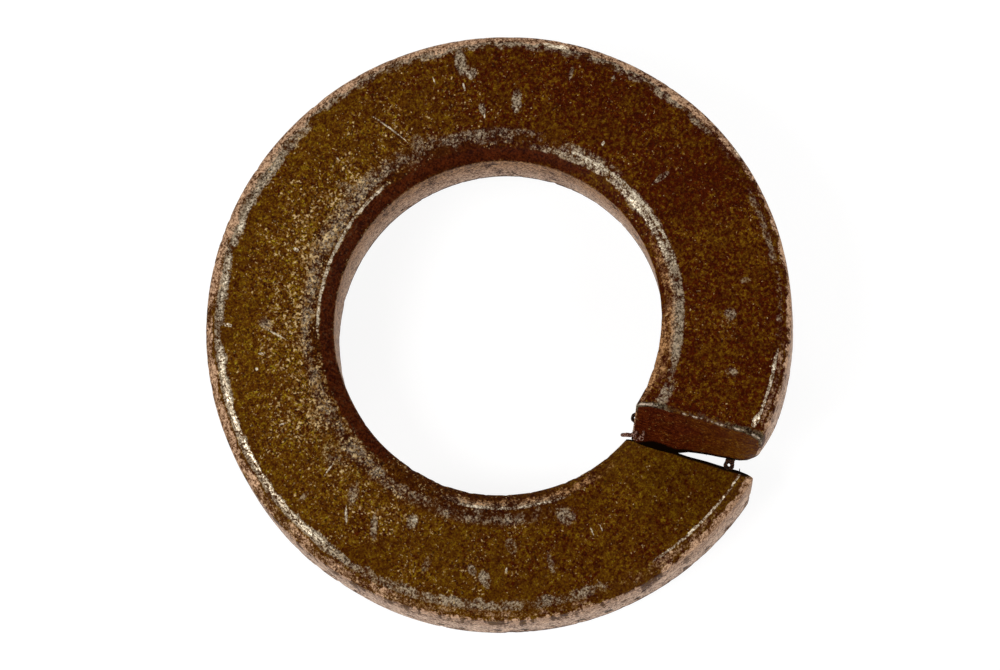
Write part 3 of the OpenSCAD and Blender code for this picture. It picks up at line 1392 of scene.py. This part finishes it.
@dataclass(frozen=True)
class BrownCoat:
    """The thin brown coat of the wire's skin, with its grain, its flecks and its kinds of wear, and with
    painted light: a golden sheen, glints, crest highlights, shade on the bore's rounding and walls, a pale
    reflection on the walls and shadow along the cuts.
    """

    wire: Wire
    red_brown: str = "360D00"
    olive: str = "4A2B02"
    # Colour of the painted golden sheen.
    sheen_golden: str = "553204"
    # Colours of the bright flecks, partly painted glints.
    fleck_and_glint_dark: str = "7A5626"
    fleck_and_glint_light: str = "D9BA86"
    pit: str = "1C0C03"
    # Black of the painted shadow along the cuts.
    edge: str = "0A0401"
    # Painted highlight along the raised end's upper edge.
    lip: str = "AE9C8A"
    halo: str = "665B46"
    under: tuple[Overlay, ...] = (GREY_EDGES,)
    over: tuple[Overlay, ...] = (BORE_SHADE_AND_RED, PALE_WALLS_AND_REFLECTION, BURNISH_AND_HIGHLIGHTS)
    grain_depth: float = 0.012

    def tint(self, graph: Graph, surface: Surface, painted_sheen: Field) -> Field:
        """The unworn coat's colour, with its painted golden sheen.

        Args:
            graph: The finish's tree.
            surface: The point.
            painted_sheen: How strongly the painted golden sheen lies on this part of the ring.

        Returns:
            The colour.
        """
        lumps, drift = surface.mottle - 0.5, surface.drift - 0.5
        turn, tinge = surface.face_turn, surface.tinge
        reddish = turn.rising(185, 85) * 0.8 + turn.rising(300, 332) * 0.4 - turn.rising(334, 350) * 0.55
        reddish = (reddish + lumps * 2.2 + drift * 1.2 + tinge * 4.0).clamped()
        tint = graph.blend(reddish, paint(self.olive), paint(self.red_brown))
        # Painted sheen: golden where the coat faces the main lamp, broken up by the mottle.
        golden_sheen_share = painted_sheen * 0.8 + lumps * 1.8 - drift * 1.6 - tinge * 4.0
        tint = graph.blend(golden_sheen_share.clamped(), tint, paint(self.sheen_golden))
        power = (surface.grain - 0.5) * 4.8 + (surface.grit - 0.5) * 2.6
        power = power * (1 + painted_sheen * 0.5) + lumps * 0.5
        by_bore = surface.across.rising(0.30, 0.18) * turn.rising(95, 130) * turn.rising(335, 300)
        return graph.ripened(tint, power - by_bore * 0.75)

    def lay(self, graph: Graph, surface: Surface, looks: tuple, overlay: Overlay) -> tuple:
        """Lays one overlay, wear or painted light or shade, over what is there.

        Args:
            graph: The finish's tree.
            surface: The point.
            looks: The colour, the share of bare metal and the polish so far.
            overlay: The overlay.

        Returns:
            The colour, the share of bare metal and the polish that result.
        """
        share = surface.worn(overlay)
        hue = graph.blend(surface.tone, paint(overlay.dark), paint(overlay.light))
        # Painted shade: the hue grows darker and warmer towards the top of the walls.
        if overlay.shade:
            upward = surface.height.rising(surface.across * 0.3, 0.85) * (1 - surface.across * 0.42)
            hue = graph.blend(upward, hue, graph.blend(1.0, hue, paint(overlay.shade), "MULTIPLY"))
        colour, metal, polish = looks
        return graph.blend(share, colour, hue), metal + share * overlay.metal, polish + share * overlay.polish

    def sprinkle(self, graph: Graph, surface: Surface, looks: tuple, painted_sheen: Field) -> tuple:
        """Sprinkles bright flecks, partly grain of the coat and partly painted glints, and dark grains,
        densest under the painted golden sheen.

        Args:
            graph: The finish's tree.
            surface: The point.
            looks: The colour, the share of bare metal and the polish so far.
            painted_sheen: How strongly the painted golden sheen lies on this part of the ring.

        Returns:
            The colour, the share of bare metal and the polish that result.
        """
        colour, metal, polish = looks
        rough = (surface.mottle - 0.5) * 0.40 + (surface.grit - 0.5) * 0.16
        density = painted_sheen * surface.across.rising(0.9, 0.3) * 0.12
        density = density + surface.span(118, 318, 24) * 0.045 - 0.045 + rough
        # Bright flecks: partly the coat's grain, partly painted glints.
        flecks = (surface.noise(0.064, seed=15.0, detail=1.0) + density).rising(0.63, 0.77)
        tone = surface.noise(0.12, seed=16.0, detail=1.0).rising(0.4, 0.68)
        bright = graph.blend(tone, paint(self.fleck_and_glint_dark), paint(self.fleck_and_glint_light))
        dark = (surface.noise(0.07, seed=17.0, detail=1.0) + density * 0.6 + 0.02).rising(0.61, 0.73) * 0.75
        colour = graph.blend(dark, colour, paint(self.pit))
        return graph.blend(flecks * 0.7, colour, bright), metal + flecks * 0.3, polish

    def by_cuts(self, graph: Graph, surface: Surface, colour: Field) -> Field:
        """Paints shadow on the skin along both cuts, greys it above the raised one, and paints a pale lip
        there as a highlight.

        Args:
            graph: The finish's tree.
            surface: The point.
            colour: The colour so far.

        Returns:
            The colour that results.
        """
        along, across, height = surface.along, surface.across, surface.height
        lumps, specks = surface.mottle - 0.5, surface.grit - 0.5
        # Painted shadow: black along the low end's upper edge and along the foot of the raised end, where the
        # split lies in shade.
        low_top_shadow = along.rising(0.0032, 0.0018) * height.rising(0.6, 0.9) * across.rising(1.0, 0.93)
        raised_foot_shadow = along.rising(0.9968, 0.9988) * height.rising(0.22, 0.10)
        colour = graph.blend(low_top_shadow + raised_foot_shadow, colour, paint(self.edge))
        corners = graph.math("ABSOLUTE", across - 0.5).rising(0.1, 0.42)
        halo = along.rising(0.9935, 0.9985) * height.rising(0.6, 0.9) * (corners * 0.6 + 0.35)
        halo = (halo + lumps * 1.2 + specks * 1.2).rising(0.2, 0.8) * along.rising(0.9915, 0.9945)
        hue = graph.blend(surface.tone, paint(self.edge), paint(self.halo))
        colour = graph.blend(halo * 0.85, colour, hue)
        # Painted highlight: a pale lip along the raised end's upper edge.
        corners = graph.math("ABSOLUTE", across - 0.5).rising(0.24, 0.44)
        lip = 0.22 + corners * 0.7 + lumps * 3.6 + specks * 4.0
        widened = along + across.rising(0.28, 0.10) * 0.0010
        lip = lip.rising(0.3, 1.0) * widened.rising(0.9983, 0.9989) * height.rising(0.6, 0.9)
        return graph.blend(lip * along.rising(0.9998, 0.9993), colour, paint(self.lip))

    def material(self) -> bpy.types.Material:
        """Builds the finish.

        Returns:
            The material.
        """
        material, graph, shader = new_finish("brown_coat")
        surface = Surface(graph, self.wire)
        lumps, specks = surface.mottle - 0.5, surface.grit - 0.5
        # Painted sheen: the side of the ring towards the main lamp, fading towards the rim.
        painted_sheen = surface.span(158, 268, 36) * surface.across.rising(1.1, 0.35)
        colour = self.tint(graph, surface, painted_sheen)
        looks = (colour, 0.0, 0.0)
        for overlay in self.under:
            looks = self.lay(graph, surface, looks, overlay)
        looks = self.sprinkle(graph, surface, looks, painted_sheen)
        for overlay in self.over:
            looks = self.lay(graph, surface, looks, overlay)
        colour, metal, polish = looks
        pits = graph.out(graph.node("ShaderNodeAttribute", attribute_name=WIRE_PITS), "Fac")
        colour = graph.blend((pits + lumps).rising(0.2, 0.6) * 0.8, colour, paint(self.pit))
        colour = self.by_cuts(graph, surface, colour)
        graph.feed(shader.inputs["Metallic"], metal.clamped())
        height = surface.grain * 0.6 + surface.grit + surface.mottle
        dress(graph, shader, colour, 0.5 - polish + specks * 0.3, height, self.grain_depth)
        return material


@dataclass(frozen=True)
class CutSteel:
    """The two cuts: sheared faces under the same coat, darker, finely scored, and painted black at the foot
    as shadow.
    """

    wire: Wire
    dark: str = "391002"
    light: str = "482302"
    fleck: str = "80602F"
    # Black of the painted shadow at the foot of the cuts.
    foot_shadow: str = "070200"
    score_depth: float = 0.010

    def material(self) -> bpy.types.Material:
        """Builds the finish.

        Returns:
            The material.
        """
        material, graph, shader = new_finish("cut_steel")
        surface = Surface(graph, self.wire)
        grain, mottle = surface.grain, surface.mottle
        scoring = graph.noise(graph.vector(surface.across * 9, surface.height * 40, 0.0), 1.0, seed=23.0)
        share = surface.across + (mottle - 0.5) * 1.6
        tint = graph.blend(share.rising(0.25, 1.05), paint(self.dark), paint(self.light))
        power = (grain - 0.5) * 7.0 + (scoring - 0.5) * 3.6 + (surface.grit - 0.5) * 3.0
        flecks = (surface.noise(0.09, seed=24.0, detail=1.0) + (mottle - 0.5) * 0.3).rising(0.66, 0.76)
        colour = graph.blend(flecks * 0.45, graph.ripened(tint, power * 0.8), paint(self.fleck))
        # Painted shadow: the foot of each cut black, deepest on the inner half, where the split lies in
        # shade.
        foot = 0.065 + surface.across.rising(0.54, 0.20) * surface.across.rising(0.03, 0.20) * 0.13
        foot = foot - surface.height
        foot = (foot + (scoring - 0.5) * 0.10 + (surface.grit - 0.5) * 0.10).rising(-0.035, 0.015)
        colour = graph.blend(foot, colour, paint(self.foot_shadow))
        height = grain * 0.6 + scoring + mottle
        dress(graph, shader, colour, 0.5 + (grain - 0.5) * 0.3, height, self.score_depth)
        return material


@dataclass(frozen=True)
class BurrSteel:
    """The burrs: torn steel, nearly black, or brown with pale spots that are partly rubbed metal and partly
    painted glints.
    """

    name: str = "burr_steel"
    dark: str = "0E0502"
    light: str = "4A2C1C"
    grain_depth: float = 0.006

    def material(self) -> bpy.types.Material:
        """Builds the finish.

        Returns:
            The material.
        """
        material, graph, shader = new_finish(self.name)
        grain = graph.noise(graph.own_place(), 0.045, seed=31.0)
        colour = graph.blend(grain.rising(0.44, 0.64), paint(self.dark), paint(self.light))
        dress(graph, shader, colour, 0.7 - grain * 0.3, grain, self.grain_depth, 0.8, 0.05)
        return material


# ---------------------------------------------------------------------------------------------
# Studio
# ---------------------------------------------------------------------------------------------


@dataclass(frozen=True)
class Lamp:
    """A square soft lamp that faces the washer."""

    name: str
    heading: float
    elevation: float
    distance: float
    size: float
    watts: float


@dataclass(frozen=True)
class Studio:
    """A white table, a pale surround, soft lamps and the camera."""

    centre: Vector
    lamps: tuple[Lamp, ...] = (
        Lamp("main_lamp", 240.0, 52.0, 220.0, 110.0, 0.34),
        Lamp("side_lamp", 8.0, 48.0, 220.0, 90.0, 0.16),
        Lamp("far_lamp", 128.0, 42.0, 220.0, 90.0, 0.10),
    )
    camera_heading: float = -41.0
    camera_tilt: float = 12.9
    camera_distance: float = 173.0
    camera_lens: float = 211.1
    camera_sensor: float = 36.0
    split_heading: float = -32.4
    aim_right: float = 0.01
    aim_down: float = 0.096
    table_size: float = 8000.0
    table_glow: float = 0.86
    table_shade: float = 0.20
    bounce: float = 0.8
    horizon: float = 1.0
    zenith: float = 0.05
    overhead_from: tuple[float, float] = (0.25, 0.75)

    def seen(self, graph: Graph) -> Field:
        """1 for rays that show a surface to the eye, straight or by reflection, and 0 for others."""
        path = graph.node("ShaderNodeLightPath")
        names = ("Is Camera Ray", "Is Glossy Ray", "Is Transmission Ray")
        return graph.largest([graph.out(path, name) for name in names])

    def table(self) -> None:
        """Makes the white table, which keeps the washer's shadow."""
        half = self.table_size * MM / 2
        mesh = bpy.data.meshes.new("table")
        corners = [(-half, -half, 0), (half, -half, 0), (half, half, 0), (-half, half, 0)]
        mesh.from_pydata(corners, [], [(0, 1, 2, 3)])
        table = stand("table", mesh)
        material, graph, shader = new_finish("white_table")
        material.node_tree.nodes.remove(shader)
        white = paint("FFFFFF")
        glow = graph.node("ShaderNodeEmission", {"Color": white, "Strength": self.table_glow})
        shade = graph.node("ShaderNodeBsdfDiffuse", {"Color": (*[self.table_shade] * 3, 1)})
        pale = graph.node("ShaderNodeAddShader", {0: graph.out(glow), 1: graph.out(shade)})
        plain = graph.node("ShaderNodeBsdfDiffuse", {"Color": (*[self.bounce] * 3, 1)})
        feeds = {0: self.seen(graph), 1: graph.out(plain), 2: graph.out(pale)}
        mixed = graph.node("ShaderNodeMixShader", feeds)
        graph.feed(material.node_tree.nodes["Material Output"].inputs["Surface"], graph.out(mixed))
        mesh.materials.append(material)

    def surround(self) -> None:
        """Makes the surround: white at the horizon and nearly dark overhead, where the camera is."""
        world = bpy.data.worlds.new("surround")
        world.use_nodes = True
        graph = Graph(world.node_tree)
        direction = graph.out(graph.node("ShaderNodeTexCoord"), "Generated")
        overhead = graph.parts(direction)[2].rising(*self.overhead_from)
        strength = self.horizon + overhead * (self.zenith - self.horizon)
        background = world.node_tree.nodes["Background"]
        background.inputs["Color"].default_value = paint("FFFFFF")
        graph.feed(background.inputs["Strength"], strength)
        bpy.context.scene.world = world

    def hang(self, lamp: Lamp) -> None:
        """Hangs one lamp so that it faces the washer.

        Args:
            lamp: The lamp.
        """
        heading, elevation = math.radians(lamp.heading), math.radians(lamp.elevation)
        towards = Vector((
            math.cos(heading) * math.cos(elevation), math.sin(heading) * math.cos(elevation),
            math.sin(elevation),
        ))
        light = bpy.data.lights.new(lamp.name, "AREA")
        light.shape = "SQUARE"
        light.size = lamp.size * MM
        light.energy = lamp.watts
        holder = stand(lamp.name, light)
        holder.location = (self.centre + towards * lamp.distance) * MM
        holder.rotation_euler = towards.to_track_quat("Z", "Y").to_euler()

    def camera(self) -> None:
        """Stands the camera over the washer, a little off the bore axis."""
        heading = math.radians(self.camera_heading)
        axis = Vector((-math.sin(heading), math.cos(heading), 0.0))
        tilt = Matrix.Rotation(math.radians(self.camera_tilt), 3, axis)
        turn = Matrix.Rotation(math.radians(-self.split_heading), 3, "Z")
        facing = tilt @ turn
        right, up, back = facing.col[0], facing.col[1], facing.col[2]
        eye = self.centre + back * self.camera_distance + right * self.aim_right - up * self.aim_down
        lens = bpy.data.cameras.new("camera")
        lens.lens = self.camera_lens
        lens.sensor_width = self.camera_sensor
        lens.clip_start = MM
        camera = stand("camera", lens)
        camera.matrix_world = Matrix.Translation(eye * MM) @ facing.to_4x4()
        bpy.context.scene.camera = camera

    def build(self) -> None:
        """Sets up the whole studio."""
        self.camera()
        self.table()
        self.surround()
        for lamp in self.lamps:
            self.hang(lamp)
        bpy.context.scene.view_settings.view_transform = "Standard"


# ---------------------------------------------------------------------------------------------
# The build
# ---------------------------------------------------------------------------------------------


def wire_from_frame() -> Wire:
    """Takes the wire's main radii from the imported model's bore mount and its box."""
    mounts = {mount["name"]: mount for mount in frame["record"]["mounts"]}
    low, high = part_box(NODE)
    return Wire(bore_r=mounts["bore"]["dims"]["r_mm"], rim_r=round((high.y - low.y) / 2 / MM, 2))


def main() -> None:
    """Builds the washer, its burrs and the studio."""
    logging.basicConfig(level=logging.INFO, format="%(name)s: %(message)s")
    low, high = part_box(NODE)
    Studio(centre=Vector((0, 0, (low.z + high.z) / 2 / MM))).build()
    wire = wire_from_frame()
    WasherRing(wire).make(BrownCoat(wire).material(), CutSteel(wire).material())
    # Rubbed burrs: pale spots, partly painted glints.
    rubbed = BurrSteel("rubbed_burr_steel", "38190F", "907060")
    SplitBurrs(wire).make(BurrSteel().material(), rubbed.material())


if __name__ == "__main__":
    main()
